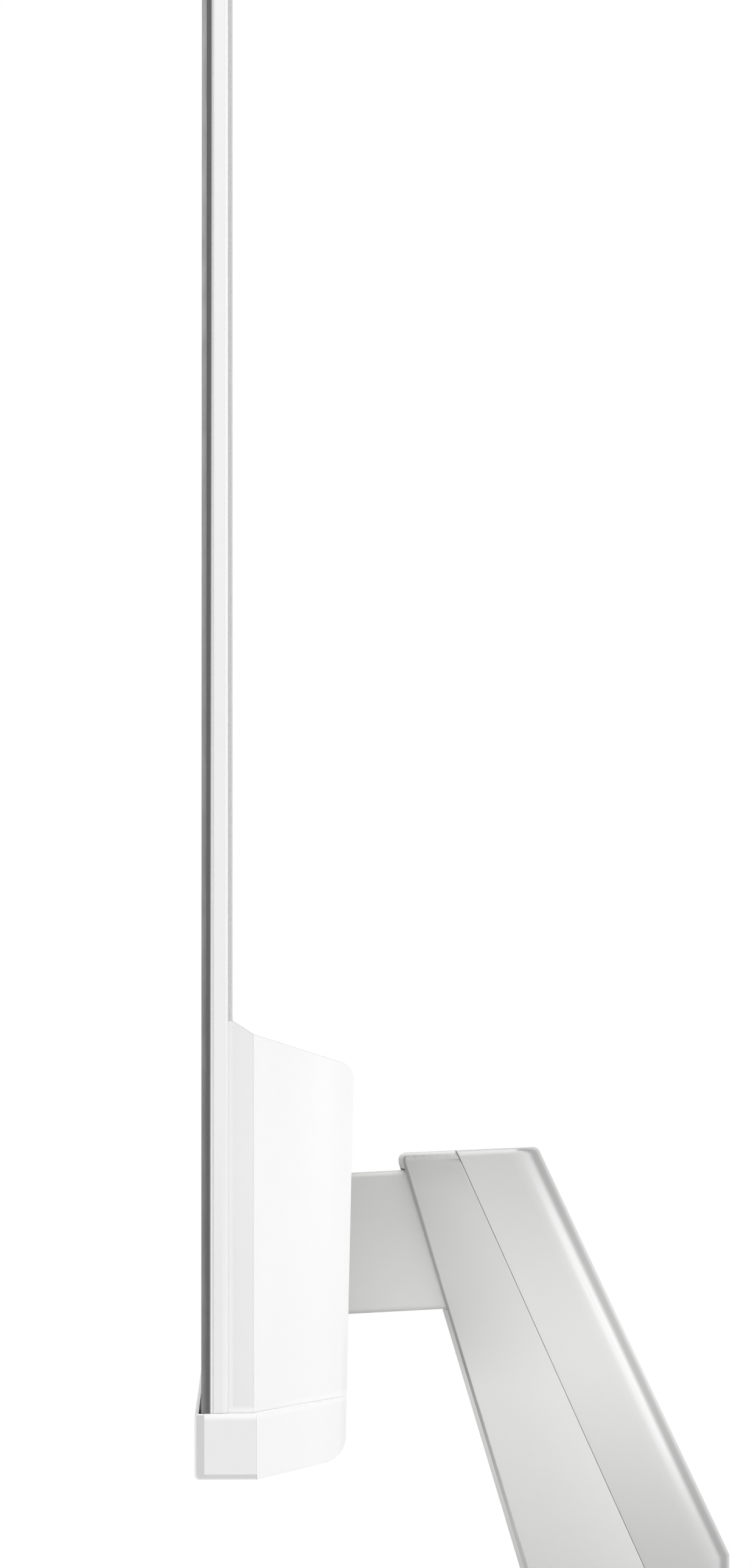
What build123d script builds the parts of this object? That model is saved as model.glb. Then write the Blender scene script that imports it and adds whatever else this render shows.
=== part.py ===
from build123d import *
import math
import os

os.makedirs("parts", exist_ok=True)

# Slim desktop monitor: a thin glass screen, a deep housing low on its back and a raked stand.
# Millimetres. X runs along the screen, Y from the viewer to the back, Z up from the desk.
# The origin lies on the desk under the middle of the base.

# Screen as a whole
screen_w = 612.0
screen_h = 364.6
desk_gap = 68.0
front_y = -51.0
chin_h = 14.5
corner_r = 3.0

# Layers of the thin screen, front to back
glass_set = 1.5
glass_t = 1.1
bezel_t = 1.4
rim_t = 3.4
plate_t = 1.1
reflector_t = 0.3
bezel_w = 7.0
rim_w = 6.0
led_h = 5.0
film_gap = 0.4
rim_front_edge = 0.3
rim_back_edge = 0.6
back_inset = 0.6
plate_edge = 0.5

# Chin strip and the seal above it
trim_t = 2.1
trim_round = 1.0
trim_leg_t = 1.1
chin_over = 0.3
seal_h = 1.2
seal_t = 0.6

# Deep housing on the back
wall = 2.2
band_depth = 4.6
flank_w = 80.0
flank_depth = 22.0
rear_depth = 35.1
rear_lean = math.radians(1.5)
shoulder_h = 101.0
shoulder_drop = 3.0
roof_fall = math.radians(12.5)
roof_round = 4.0
foot_round = 5.0
seam_edge = 0.6
tongue_gap = 0.3

# Roof vents, intake slots and screw bosses of the housing
vent_edge = 40.0
vent_w = 132.0
vent_d = 15.0
vent_t = 1.8
vent_gap = 0.15
slot_w = 2.4
slot_pitch = 5.2
slot_margin = 2.2
intake_pitch = 10.4
intake_d = 9.0
boss_edge = 32.0
boss_r = 5.0
boss_low = 30.0
boss_high = 78.0
screw_head_r = 2.9
screw_head_t = 1.8
screw_r = 1.5
screw_gap = 0.1
head_sink = 3.6

# Frame and boards inside the housing
chassis_edge = 18.0
chassis_t = 1.2
chassis_low = 21.0
chassis_high = 85.0
board_t = 1.6
board_gap = 14.0
board_h = 58.0
standoff_h = 3.0
standoff_r = 2.6
standoff_edge = 5.0
chip_w = 16.0
chip_t = 1.4
chip_rise = 17.0
coil_r = 7.0
coil_h = 9.0
coil_step = 20.0

# Sockets in the recessed port bay
bay_h = 24.0
bay_margin = 5.0
socket_space = 6.0
bay_rise = 40.0
bay_depth = 5.0
bay_wall = 1.2
bay_gap = 0.2
socket_proud = 0.4
video_w = 15.2
video_h = 6.4
video_count = 2
video_wall = 0.7
video_depth = 9.0
tongue_t = 1.3
audio_w = 9.0
audio_r = 1.8
audio_depth = 14.0
power_w = 11.0
power_r = 3.2
power_pin_r = 1.1
power_depth = 9.5

# Keys under the chin
key_edge = 20.0
key_pitch = 14.0
key_w = 9.0
key_d = 3.4
key_back = 7.6
key_proud = 0.5
key_gap = 0.3
key_lip = 0.9
key_lip_t = 0.9
key_rise = 2.4
key_play = 0.1
key_travel = 0.7
switch_w = 4.0
switch_h = 2.2
keyboard_t = 1.2
keyboard_d = 6.4
keyboard_over = 8.0
menu_keys = 4

# Tilt hinge
hinge_rise = 46.0
hinge_depth = 24.0
shaft_r = 4.0
shaft_gap = 0.05
arm_w = 34.0
arm_h = 39.2
arm_rise = math.radians(2.8)
arm_round = 1.5
nose_r = 10.0
nose_flare = 10.0
side_gap = 0.3
ear_t = 3.0
ear_r = 8.5
hinge_plate_t = 2.5
hinge_plate_w = 66.0
hinge_plate_h = 46.0
washer_t = 1.2
washer_r = 6.6
nut_t = 4.0
nut_r = 7.0
tilt_back = math.radians(20.0)
tilt_forward = math.radians(5.0)
mouth_gap = 0.8
mouth_side_gap = 1.6

# Neck of the stand
neck_cover = 7.3
neck_front_y = 5.2
front_land = 3.5
front_w = 40.0
side_w = 110.0
flank_top_d = 13.2
side_top_d = 23.1
flank_low_d = 34.4
side_low_d = 14.9
knee_rise = 22.7
neck_inset = 3.0
top_rise = math.radians(2.4)
shell_t = 2.5
shell_seam = 0.1
front_round = 9.0
back_round = 8.0
top_round = 2.0
spine_set = 7.0
spine_t = 3.0
spine_w = 34.0
spine_foot_d = 30.0
arm_screw_x = 10.0
arm_screw_z = 11.0
bolt_r = 2.0
bolt_gap = 0.15
bolt_head_r = 3.8
bolt_head_t = 1.8
bolt_grip = 8.0

# Base
base_w = 220.0
base_d = 192.0
base_t = 6.0
base_corner = 16.0
base_round = 1.6
base_rim = 5.0
weight_t = 3.4
weight_gap = 0.3
foot_h = 2.0
foot_r = 8.0
foot_edge = 20.0
base_bolt_x = 11.0
base_bolt_edge = 7.0
head_gap = 0.4

# Places that follow from the sizes above
half_w = screen_w / 2
glass_y = front_y + glass_set
bezel_y = glass_y + glass_t
rim_y = bezel_y + bezel_t
plate_y = rim_y + rim_t
plate_back = plate_y + plate_t
trim_back = front_y + trim_t
band_y = plate_back + band_depth
seam_z = desk_gap + chin_h
top_z = desk_gap + screen_h
shoulder_z = desk_gap + shoulder_h
band_z = shoulder_z - shoulder_drop
chassis_back = plate_back + chassis_t
board_y = chassis_back + standoff_h
board_back = board_y + board_t
hinge_y = front_y + hinge_depth
hinge_z = desk_gap + hinge_rise
base_top = foot_h + base_t
neck_top = hinge_z + arm_h / 2 + neck_cover
land_z = neck_top - front_land
knee_z = base_top + knee_rise
knee_y = base_d / 2 - neck_inset
boss_x = half_w - flank_w - boss_edge
vent_x = half_w - flank_w - vent_edge - vent_w / 2
vent_slots = int((vent_w - 2 * slot_margin) / slot_pitch)
intake_slots = int(vent_w / intake_pitch)
chassis_w = 2 * (boss_x + chassis_edge)
board_w = boss_x - boss_r - hinge_plate_w / 2 - 2 * board_gap
board_x = hinge_plate_w / 2 + board_gap + board_w / 2
power_key_x = half_w - key_edge
key_x = power_key_x - menu_keys * key_pitch
arm_half = arm_w / 2
ear_in = arm_half + side_gap
ear_out = ear_in + ear_t


def rear_y(z):
    """Depth of the leaning rear wall at height z."""
    return front_y + rear_depth + math.tan(rear_lean) * (z - desk_gap)


def roof_corner():
    """Where the falling roof line meets the leaning rear wall."""
    fall = math.tan(roof_fall)
    lean = math.tan(rear_lean)
    y = (rear_y(band_z) + lean * fall * band_y) / (1 + lean * fall)
    return y, band_z - fall * (y - band_y)


def along(low_y, high_y, low_z, high_z, z):
    """Y at height z on the straight line between two levels."""
    return low_y + (high_y - low_y) * (z - low_z) / (high_z - low_z)


def neck_front(z):
    """Front face of the neck: upright for a short land, then raked to the base."""
    foot_y = knee_y - side_low_d - flank_low_d
    if z > land_z:
        return neck_front_y
    return along(foot_y, neck_front_y, base_top, land_z, z)


def neck_crease(z):
    """Line where the front and rear shells of the neck meet."""
    top_y = neck_front_y + flank_top_d
    return along(knee_y - side_low_d, top_y, base_top, neck_top, z)


def neck_rear(z):
    """Back of the neck above its knee."""
    top_y = neck_front_y + flank_top_d + side_top_d
    return along(knee_y, top_y, knee_z, neck_top, z)


def arm_mid(y):
    """Height of the middle of the arm, which rises a little to the neck."""
    return hinge_z + math.tan(arm_rise) * (y - hinge_y)


def arm_end(side):
    """Rear corner of the arm on the front of the spine, below for -1 and above for 1."""
    level = hinge_z + side * arm_h / 2
    z = arm_mid(neck_front(level) + spine_set) + side * arm_h / 2
    return neck_front(z) + spine_set, z


def block(x_span, y_span, z_span, mode=Mode.ADD):
    """Box between the given limits."""
    middle = [(a + b) / 2 for a, b in (x_span, y_span, z_span)]
    size = [b - a for a, b in (x_span, y_span, z_span)]
    with Locations(tuple(middle)):
        Box(*size, mode=mode)


def rod_x(x_span, y, z, radius, mode=Mode.ADD):
    """Round bar along X."""
    with Locations((sum(x_span) / 2, y, z)):
        Cylinder(radius, x_span[1] - x_span[0], rotation=(0, 90, 0), mode=mode)


def rod_y(x, y_span, z, radius, mode=Mode.ADD):
    """Round bar along Y."""
    with Locations((x, sum(y_span) / 2, z)):
        Cylinder(radius, y_span[1] - y_span[0], rotation=(90, 0, 0), mode=mode)


def rod_z(x, y, z_span, radius, mode=Mode.ADD):
    """Round bar along Z."""
    with Locations((x, y, sum(z_span) / 2)):
        Cylinder(radius, z_span[1] - z_span[0], mode=mode)


def span(middle, size):
    """Limits of a size about its middle."""
    return middle - size / 2, middle + size / 2


def save(builder, name):
    """Name a finished piece and write it."""
    builder.part.label = name
    export_step(builder.part, f"parts/{name}.step")


def slab(y_span, low_z, high_z, inset=0.0, mode=Mode.ADD):
    """Upright sheet across the screen, its limits drawn in by an inset."""
    block(span(0, screen_w - 2 * inset), y_span, (low_z + inset, high_z - inset), mode)


def round_top(builder):
    """Round the two upper corners that a sheet of the screen shows from the front."""
    uppers = builder.edges().filter_by(Axis.Y).group_by(Axis.Z)[-1]
    fillet(uppers, corner_r)


def plan_points(front, side, corner):
    """Plan of the housing: straight side bands up to a corner, then flanks that taper to the rear."""
    reach = flank_depth + band_depth
    inboard = half_w - flank_w * reach / flank_depth
    near_side = [(side, front), (side, corner), (inboard, band_y + reach)]
    far_side = [(-x, y) for x, y in reversed(near_side)]
    return near_side + far_side


# Screen layers

with BuildPart() as lcd_glass:
    slab((glass_y, bezel_y), seam_z, top_z)
    round_top(lcd_glass)
save(lcd_glass, "lcd_glass")

with BuildPart() as panel_frame:
    slab((bezel_y, rim_y), seam_z, top_z)
    round_top(panel_frame)
    slab((bezel_y, rim_y), seam_z, top_z, bezel_w, Mode.SUBTRACT)
save(panel_frame, "panel_frame")

with BuildPart() as diffuser:
    slab((bezel_y, rim_y), seam_z, top_z, bezel_w + film_gap)
save(diffuser, "diffuser")

with BuildPart() as side_frame:
    slab((rim_y, plate_y), seam_z, top_z)
    round_top(side_frame)
    chamfer(side_frame.faces().sort_by(Axis.Y)[0].edges().sort_by(Axis.Z)[1:], rim_front_edge)
    chamfer(side_frame.faces().sort_by(Axis.Y)[-1].edges().sort_by(Axis.Z)[1:], rim_back_edge)
    slab((rim_y, plate_y), seam_z, top_z, rim_w, Mode.SUBTRACT)
save(side_frame, "side_frame")

guide_low = seam_z + rim_w + film_gap + led_h
guide_high = top_z - rim_w - film_gap
guide_w = screen_w - 2 * (rim_w + film_gap)

with BuildPart() as light_guide:
    block(span(0, guide_w), (rim_y, plate_y - reflector_t), (guide_low, guide_high))
save(light_guide, "light_guide")

with BuildPart() as led_bar:
    block(span(0, guide_w), (rim_y, plate_y - reflector_t), (guide_low - led_h, guide_low))
save(led_bar, "led_bar")

with BuildPart() as reflector:
    block(span(0, guide_w), (plate_y - reflector_t, plate_y), (guide_low - led_h, guide_high))
save(reflector, "reflector")

# The plate narrows to a tongue where the housing wraps round its sides.
housing_half = half_w - back_inset
tongue_w = 2 * (housing_half - wall - tongue_gap)

with BuildPart() as back_plate:
    block(span(0, 2 * housing_half), (plate_y, plate_back), (shoulder_z, top_z - back_inset))
    round_top(back_plate)
    fillet(back_plate.faces().sort_by(Axis.Y)[-1].edges().sort_by(Axis.Z)[1:], plate_edge)
    block(span(0, tongue_w), (plate_y, plate_back), (seam_z, shoulder_z))
save(back_plate, "back_plate")

# Chin: an angle strip on its front and underside, a little wider than the screen

chin_half = half_w + chin_over
chin_w = 2 * chin_half
leg_top = desk_gap + trim_leg_t
leg_back = band_y + seam_edge
key_places = [key_x + i * key_pitch for i in range(menu_keys)] + [power_key_x]
key_y = front_y + key_back


def key_holes(low_z, high_z):
    """Cut the holes that the keys move in."""
    hole_w = key_w + 2 * key_gap
    hole_d = key_d + 2 * key_gap
    for x in key_places:
        block(span(x, hole_w), span(key_y, hole_d), (low_z, high_z), Mode.SUBTRACT)


with BuildPart() as chin_trim:
    block(span(0, chin_w), (front_y, trim_back), (desk_gap, seam_z))
    block(span(0, chin_w), (front_y, leg_back), (desk_gap, leg_top))
    fillet(chin_trim.edges().filter_by(Axis.X).group_by(Axis.Y)[0], trim_round)
    fillet(chin_trim.edges().filter_by(Axis.Y).group_by(Axis.Z)[-1], seam_edge)
    key_holes(desk_gap - wall, leg_top + wall)
save(chin_trim, "chin_trim")

with BuildPart() as glass_seal:
    with BuildSketch(Plane.YZ):
        with BuildLine():
            Polyline((glass_y, seam_z), (glass_y, seam_z + seal_h), (glass_y - seal_t, seam_z), close=True)
        make_face()
    extrude(amount=half_w, both=True)
save(glass_seal, "glass_seal")

# Bottom cover: a tray under the chin and the housing

floor_z = desk_gap + wall
key_top = floor_z + key_rise
board_low = key_top + key_travel + switch_h + key_gap
post_w = keyboard_over / 2

with BuildPart() as bottom_cover:
    with BuildSketch(Plane.YZ):
        with BuildLine():
            Polyline(
                (trim_back, desk_gap),
                (rear_y(desk_gap), desk_gap),
                (rear_y(seam_z), seam_z),
                (trim_back, seam_z),
                close=True,
            )
        face = make_face()
        fillet(face.vertices().group_by(Axis.Y)[0].sort_by(Axis.X)[-1], foot_round)
    extrude(amount=chin_half, both=True)
    with BuildSketch(Plane.XY.offset(desk_gap)):
        with BuildLine():
            Polyline(*plan_points(trim_back, chin_half, leg_back), close=True)
        make_face()
    extrude(amount=chin_h, mode=Mode.INTERSECT)
    offset(amount=-wall, openings=bottom_cover.faces().sort_by(Axis.Z)[-1])
    rim_edges = bottom_cover.faces().sort_by(Axis.Z)[-1].outer_wire().edges()
    fillet(rim_edges.sort_by(Axis.Y)[1:], seam_edge)
    # Room for the leg of the chin trim
    block(span(0, 2 * chin_w), (front_y, leg_back), (desk_gap - wall, leg_top), Mode.SUBTRACT)
    # Two posts carry the key board
    for post_x in (key_x - keyboard_over, power_key_x + keyboard_over):
        block(span(post_x, post_w), span(key_y, keyboard_d), (floor_z - wall / 2, board_low))
    key_holes(desk_gap, floor_z + wall)
    # Air intake slots under both halves
    with BuildSketch(Plane.XY.offset(desk_gap)):
        for side in (-1, 1):
            with Locations((side * vent_x, rear_y(desk_gap) - foot_round - intake_d)):
                with GridLocations(intake_pitch, 1, intake_slots, 1):
                    Rectangle(slot_w, intake_d)
    extrude(amount=wall * 2, mode=Mode.SUBTRACT)
save(bottom_cover, "bottom_cover")

# Rear housing

corner_y, corner_z = roof_corner()
mouth_t = rear_y(hinge_z) - hinge_y
swing_up = tilt_back + arm_rise
swing_down = tilt_forward - arm_rise
mouth_up = (arm_h / 2 + mouth_t * math.sin(swing_up)) / math.cos(swing_up) + mouth_gap
mouth_down = (arm_h / 2 + mouth_t * math.sin(swing_down)) / math.cos(swing_down) + mouth_gap
bay_z = desk_gap + bay_rise
socket_sizes = [video_w] * video_count + [audio_w, power_w]
sockets_w = sum(socket_sizes) + socket_space * (len(socket_sizes) - 1)
bay_w = sockets_w + 2 * bay_margin
bay_x = -board_x
socket_places = []
socket_left = bay_x - sockets_w / 2
for size in socket_sizes:
    socket_places.append(socket_left + size / 2)
    socket_left += size + socket_space
video_places = socket_places[:video_count]
audio_x, power_x = socket_places[video_count:]
boss_places = [(sx * boss_x, desk_gap + z) for sx in (-1, 1) for z in (boss_low, boss_high)]
roof_mid_y = (band_y + corner_y) / 2
roof_mid_z = (band_z + corner_z) / 2
roof_normal = (0, math.sin(roof_fall), math.cos(roof_fall))


def roof_plane(x):
    """Plane on the middle of the roof at x, facing up and back."""
    return Plane(origin=(x, roof_mid_y, roof_mid_z), x_dir=(1, 0, 0), z_dir=roof_normal)


with BuildPart() as rear_housing:
    with BuildSketch(Plane.YZ):
        with BuildLine():
            Polyline(
                (plate_y, seam_z),
                (rear_y(seam_z), seam_z),
                (corner_y, corner_z),
                (band_y, band_z),
                (plate_back, shoulder_z),
                (plate_y, shoulder_z),
                close=True,
            )
        make_face()
    extrude(amount=housing_half, both=True)
    with BuildSketch(Plane.XY.offset(seam_z)):
        with BuildLine():
            Polyline(*plan_points(plate_y, housing_half, band_y), close=True)
        make_face()
    extrude(amount=shoulder_z - seam_z, mode=Mode.INTERSECT)
    back_face = rear_housing.faces().sort_by(Axis.Y)[-1]
    fillet(back_face.edges().sort_by(Axis.Z)[1:], roof_round)
    front_face = rear_housing.faces().sort_by(Axis.Y)[0]
    low_face = rear_housing.faces().sort_by(Axis.Z)[0]
    offset(amount=-wall, openings=[front_face, low_face])
    # Room for the tongue of the back plate
    tongue_room = span(0, tongue_w + 2 * tongue_gap)
    block(tongue_room, (plate_y - wall, plate_back), (seam_z - wall, shoulder_z + wall), Mode.SUBTRACT)
    # Screw bosses reach the chassis
    for x, z in boss_places:
        rod_y(x, (chassis_back, rear_y(z) - wall / 2), z, boss_r)
    for x, z in boss_places:
        rod_y(x, (chassis_back - wall, rear_y(z) + wall), z, screw_r + screw_gap, Mode.SUBTRACT)
        rod_y(x, (rear_y(z) - head_sink, rear_y(z) + wall), z, screw_head_r + screw_gap, Mode.SUBTRACT)
    # Mouth for the stand arm
    mouth_z = (hinge_z - mouth_down, hinge_z + mouth_up)
    mouth_y = (rear_y(hinge_z) - 3 * wall, rear_y(hinge_z) + 3 * wall)
    block(span(0, arm_w + 2 * mouth_side_gap), mouth_y, mouth_z, Mode.SUBTRACT)
    # Port bay
    bay_cut = (rear_y(bay_z) - bay_depth, rear_y(bay_z) + bay_depth)
    block(span(bay_x, bay_w), bay_cut, span(bay_z, bay_h), Mode.SUBTRACT)
    # Openings for the two roof grilles
    for x in (-vent_x, vent_x):
        with BuildSketch(roof_plane(x)):
            Rectangle(vent_w, vent_d)
        extrude(amount=2 * wall, both=True, mode=Mode.SUBTRACT)
save(rear_housing, "rear_housing")

with BuildPart() as vent_grilles:
    for x in (-vent_x, vent_x):
        with BuildSketch(roof_plane(x)):
            Rectangle(vent_w - 2 * vent_gap, vent_d - 2 * vent_gap)
            with GridLocations(slot_pitch, 1, vent_slots, 1):
                Rectangle(slot_w, vent_d - 2 * slot_margin, mode=Mode.SUBTRACT)
        extrude(amount=-vent_t)
save(vent_grilles, "vent_grilles")

with BuildPart() as housing_screws:
    for x, z in boss_places:
        seat = rear_y(z) - head_sink
        rod_y(x, (seat, seat + screw_head_t), z, screw_head_r)
        rod_y(x, (plate_back, seat), z, screw_r)
save(housing_screws, "housing_screws")

# Frame and boards inside

with BuildPart() as chassis:
    chassis_z = (desk_gap + chassis_low, desk_gap + chassis_high)
    block(span(0, chassis_w), (plate_back, chassis_back), chassis_z)
    for x, z in boss_places:
        rod_y(x, (plate_back - wall, chassis_back + wall), z, screw_r + screw_gap, Mode.SUBTRACT)
save(chassis, "chassis")

board_z = desk_gap + (chassis_low + chassis_high) / 2
board_side = board_w / 2 - standoff_edge
board_rise = board_h / 2 - standoff_edge
standoff_places = [
    (middle + sx * board_side, board_z + sz * board_rise)
    for middle in (-board_x, board_x)
    for sx in (-1, 1)
    for sz in (-1, 1)
]

with BuildPart() as board_standoffs:
    for x, z in standoff_places:
        rod_y(x, (chassis_back, board_y), z, standoff_r)
save(board_standoffs, "board_standoffs")


def board_outline(x):
    """Bare circuit board on its standoffs."""
    block(span(x, board_w), (board_y, board_back), span(board_z, board_h))


with BuildPart() as main_board:
    board_outline(-board_x)
    for x in (-board_x - chip_w, -board_x + chip_w):
        block(span(x, chip_w), (board_back, board_back + chip_t), span(board_z + chip_rise, chip_w))
save(main_board, "main_board")

with BuildPart() as driver_board:
    board_outline(board_x)
    for step in (-1, 0, 1):
        rod_y(board_x + step * coil_step, (board_back, board_back + coil_h), board_z, coil_r)
save(driver_board, "driver_board")

# Sockets and the recessed plate that they show through

bay_rim = rear_y(bay_z - bay_h / 2)
bay_floor = bay_rim - bay_depth
socket_mouth = bay_floor + socket_proud

with BuildPart() as port_plate:
    tray_w = bay_w - 2 * bay_gap
    tray_h = bay_h - 2 * bay_gap
    block(span(bay_x, tray_w), (bay_floor - bay_wall, bay_rim), span(bay_z, tray_h))
    hollow_w = tray_w - 2 * bay_wall
    hollow_h = tray_h - 2 * bay_wall
    block(span(bay_x, hollow_w), (bay_floor, bay_rim + wall), span(bay_z, hollow_h), Mode.SUBTRACT)
    for x in video_places:
        cut_w = video_w + 2 * bay_gap
        cut_h = video_h + 2 * bay_gap
        block(span(x, cut_w), (bay_floor - 2 * bay_wall, bay_rim), span(bay_z, cut_h), Mode.SUBTRACT)
    for x, size in ((audio_x, audio_w), (power_x, power_w)):
        cut = size + 2 * bay_gap
        block(span(x, cut), (bay_floor - 2 * bay_wall, bay_rim), span(bay_z, cut), Mode.SUBTRACT)
save(port_plate, "port_plate")

with BuildPart() as video_sockets:
    for x in video_places:
        block(span(x, video_w), (board_back, socket_mouth), span(bay_z, video_h))
        room = (socket_mouth - video_depth, socket_mouth + wall)
        room_w = video_w - 2 * video_wall
        room_h = video_h - 2 * video_wall
        block(span(x, room_w), room, span(bay_z, room_h), Mode.SUBTRACT)
        tongue = (socket_mouth - video_depth, socket_mouth - socket_proud)
        block(span(x, room_w - 2 * tongue_t), tongue, span(bay_z, tongue_t))
save(video_sockets, "video_sockets")

with BuildPart() as audio_socket:
    block(span(audio_x, audio_w), (board_back, socket_mouth), span(bay_z, audio_w))
    rod_y(audio_x, (socket_mouth - audio_depth, socket_mouth), bay_z, audio_r, Mode.SUBTRACT)
save(audio_socket, "audio_socket")

with BuildPart() as power_inlet:
    block(span(power_x, power_w), (board_back, socket_mouth), span(bay_z, power_w))
    rod_y(power_x, (socket_mouth - power_depth, socket_mouth), bay_z, power_r, Mode.SUBTRACT)
    rod_y(power_x, (socket_mouth - power_depth, socket_mouth - socket_proud), bay_z, power_pin_r)
save(power_inlet, "power_inlet")

# Keys and their board

keyboard_w = power_key_x - key_x + 2 * keyboard_over + post_w
keyboard_x = (key_x + power_key_x) / 2

with BuildPart() as key_board:
    block(span(keyboard_x, keyboard_w), span(key_y, keyboard_d), (board_low, board_low + keyboard_t))
    for x in key_places:
        block(span(x, switch_w), span(key_y, switch_w), (board_low - switch_h, board_low))
save(key_board, "key_board")

key_names = [f"menu_key_{i + 1}" for i in range(menu_keys)] + ["power_key"]
for name, x in zip(key_names, key_places):
    with BuildPart() as key:
        block(span(x, key_w), span(key_y, key_d), (desk_gap - key_proud, key_top))
        fillet(key.faces().sort_by(Axis.Z)[0].edges(), key_gap)
        lip_w = key_w + 2 * key_lip
        lip_d = key_d + 2 * key_lip
        lip_low = floor_z + key_play
        block(span(x, lip_w), span(key_y, lip_d), (lip_low, lip_low + key_lip_t))
    save(key, name)

# Tilt hinge: a bracket with two ears on the chassis, and a friction shaft through the stand arm

plate_screw_x = hinge_plate_w / 2 - standoff_edge
plate_screw_z = hinge_plate_h / 2 - standoff_edge
hinge_screw_places = [
    (sx * plate_screw_x, hinge_z + sz * plate_screw_z) for sx in (-1, 1) for sz in (-1, 1)
]
bracket_back = chassis_back + hinge_plate_t

with BuildPart() as hinge_bracket:
    block(span(0, hinge_plate_w), (chassis_back, bracket_back), span(hinge_z, hinge_plate_h))
    for x_span in ((-ear_out, -ear_in), (ear_in, ear_out)):
        block(x_span, (bracket_back - hinge_plate_t / 2, hinge_y), span(hinge_z, 2 * ear_r))
        rod_x(x_span, hinge_y, hinge_z, ear_r)
    rod_x((-2 * ear_out, 2 * ear_out), hinge_y, hinge_z, shaft_r + shaft_gap, Mode.SUBTRACT)
    for x, z in hinge_screw_places:
        rod_y(x, (chassis_back - wall, bracket_back + wall), z, screw_r + screw_gap, Mode.SUBTRACT)
save(hinge_bracket, "hinge_bracket")

with BuildPart() as hinge_screws:
    for x, z in hinge_screw_places:
        rod_y(x, (bracket_back, bracket_back + screw_head_t), z, screw_head_r)
        rod_y(x, (chassis_back, bracket_back), z, screw_r)
save(hinge_screws, "hinge_screws")

washer_in = ear_out + side_gap
nut_in = washer_in + washer_t
shaft_end = nut_in + nut_t + screw_gap

with BuildPart() as hinge_shaft:
    rod_x((-shaft_end, shaft_end), hinge_y, hinge_z, shaft_r)
save(hinge_shaft, "hinge_shaft")

with BuildPart() as friction_washers:
    for x_span in ((-nut_in, -washer_in), (washer_in, nut_in)):
        rod_x(x_span, hinge_y, hinge_z, washer_r)
    rod_x((-shaft_end, shaft_end), hinge_y, hinge_z, shaft_r + shaft_gap, Mode.SUBTRACT)
save(friction_washers, "friction_washers")

with BuildPart() as hinge_nuts:
    for side in (-1, 1):
        with BuildSketch(Plane.YZ.offset(side * (nut_in + nut_t / 2))):
            with Locations((hinge_y, hinge_z)):
                RegularPolygon(nut_r, 6)
                Circle(shaft_r + shaft_gap, mode=Mode.SUBTRACT)
        extrude(amount=nut_t / 2, both=True)
save(hinge_nuts, "hinge_nuts")

# Stand arm, bolted to a spine inside the neck

flare_y = hinge_y + nose_flare
arm_low_y, arm_low = arm_end(-1)
arm_high_y, arm_high = arm_end(1)
spine_rake = math.atan2(arm_low_y - arm_high_y, arm_high - arm_low)
arm_bolt_z = (arm_low + arm_high) / 2
arm_bolt_places = [
    (sx * arm_screw_x, arm_bolt_z + sz * arm_screw_z) for sx in (-1, 1) for sz in (-1, 1)
]


def spine_plane(x, z):
    """Plane on the back of the spine at x and z, facing back."""
    origin = (x, neck_front(z) + spine_set + spine_t, z)
    return Plane(origin=origin, x_dir=(1, 0, 0), z_dir=(0, math.cos(spine_rake), math.sin(spine_rake)))


with BuildPart() as stand_arm:
    with BuildSketch(Plane.YZ):
        with BuildLine():
            Polyline(
                (hinge_y, hinge_z - nose_r),
                (flare_y, arm_mid(flare_y) - arm_h / 2),
                (arm_low_y, arm_low),
                (arm_high_y, arm_high),
                (flare_y, arm_mid(flare_y) + arm_h / 2),
                (hinge_y, hinge_z + nose_r),
                close=True,
            )
        make_face()
        with Locations((hinge_y, hinge_z)):
            Circle(nose_r)
    extrude(amount=arm_half, both=True)
    side_faces = stand_arm.faces().filter_by(Axis.X)
    long_edges = side_faces.edges().filter_by(lambda e: e.length > arm_h / 2 and e.center().Y < arm_high_y)
    fillet(long_edges, arm_round)
    rod_x((-arm_w, arm_w), hinge_y, hinge_z, shaft_r + shaft_gap, Mode.SUBTRACT)
    for x, z in arm_bolt_places:
        with BuildSketch(spine_plane(x, z)):
            Circle(bolt_r + bolt_gap)
        extrude(amount=-(spine_t + bolt_grip + bolt_gap), mode=Mode.SUBTRACT)
save(stand_arm, "stand_arm")

with BuildPart() as arm_bolts:
    for x, z in arm_bolt_places:
        with BuildSketch(spine_plane(x, z)):
            Circle(bolt_head_r)
        extrude(amount=bolt_head_t)
        with BuildSketch(spine_plane(x, z)):
            Circle(bolt_r)
        extrude(amount=-(spine_t + bolt_grip))
save(arm_bolts, "arm_bolts")

# Neck: two thin shells round a steel spine


def flank_inset(z):
    """Sideways inset that gives the flank of the front shell its wall."""
    depth = neck_crease(z) - neck_front(z)
    width = (side_w - front_w) / 2
    return shell_t * math.hypot(depth, width) / depth


def flank_x(z, y):
    """Half width inside the front shell at height z and depth y."""
    depth = neck_crease(z) - neck_front(z)
    width = (side_w - front_w) / 2
    return front_w / 2 + (y - neck_front(z)) * width / depth - flank_inset(z)


top_middle_y = (neck_front_y + neck_rear(neck_top)) / 2
top_normal = (0, -math.sin(top_rise), math.cos(top_rise))
top_plane = Plane(origin=(0, top_middle_y, neck_top), x_dir=(1, 0, 0), z_dir=top_normal)

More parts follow.
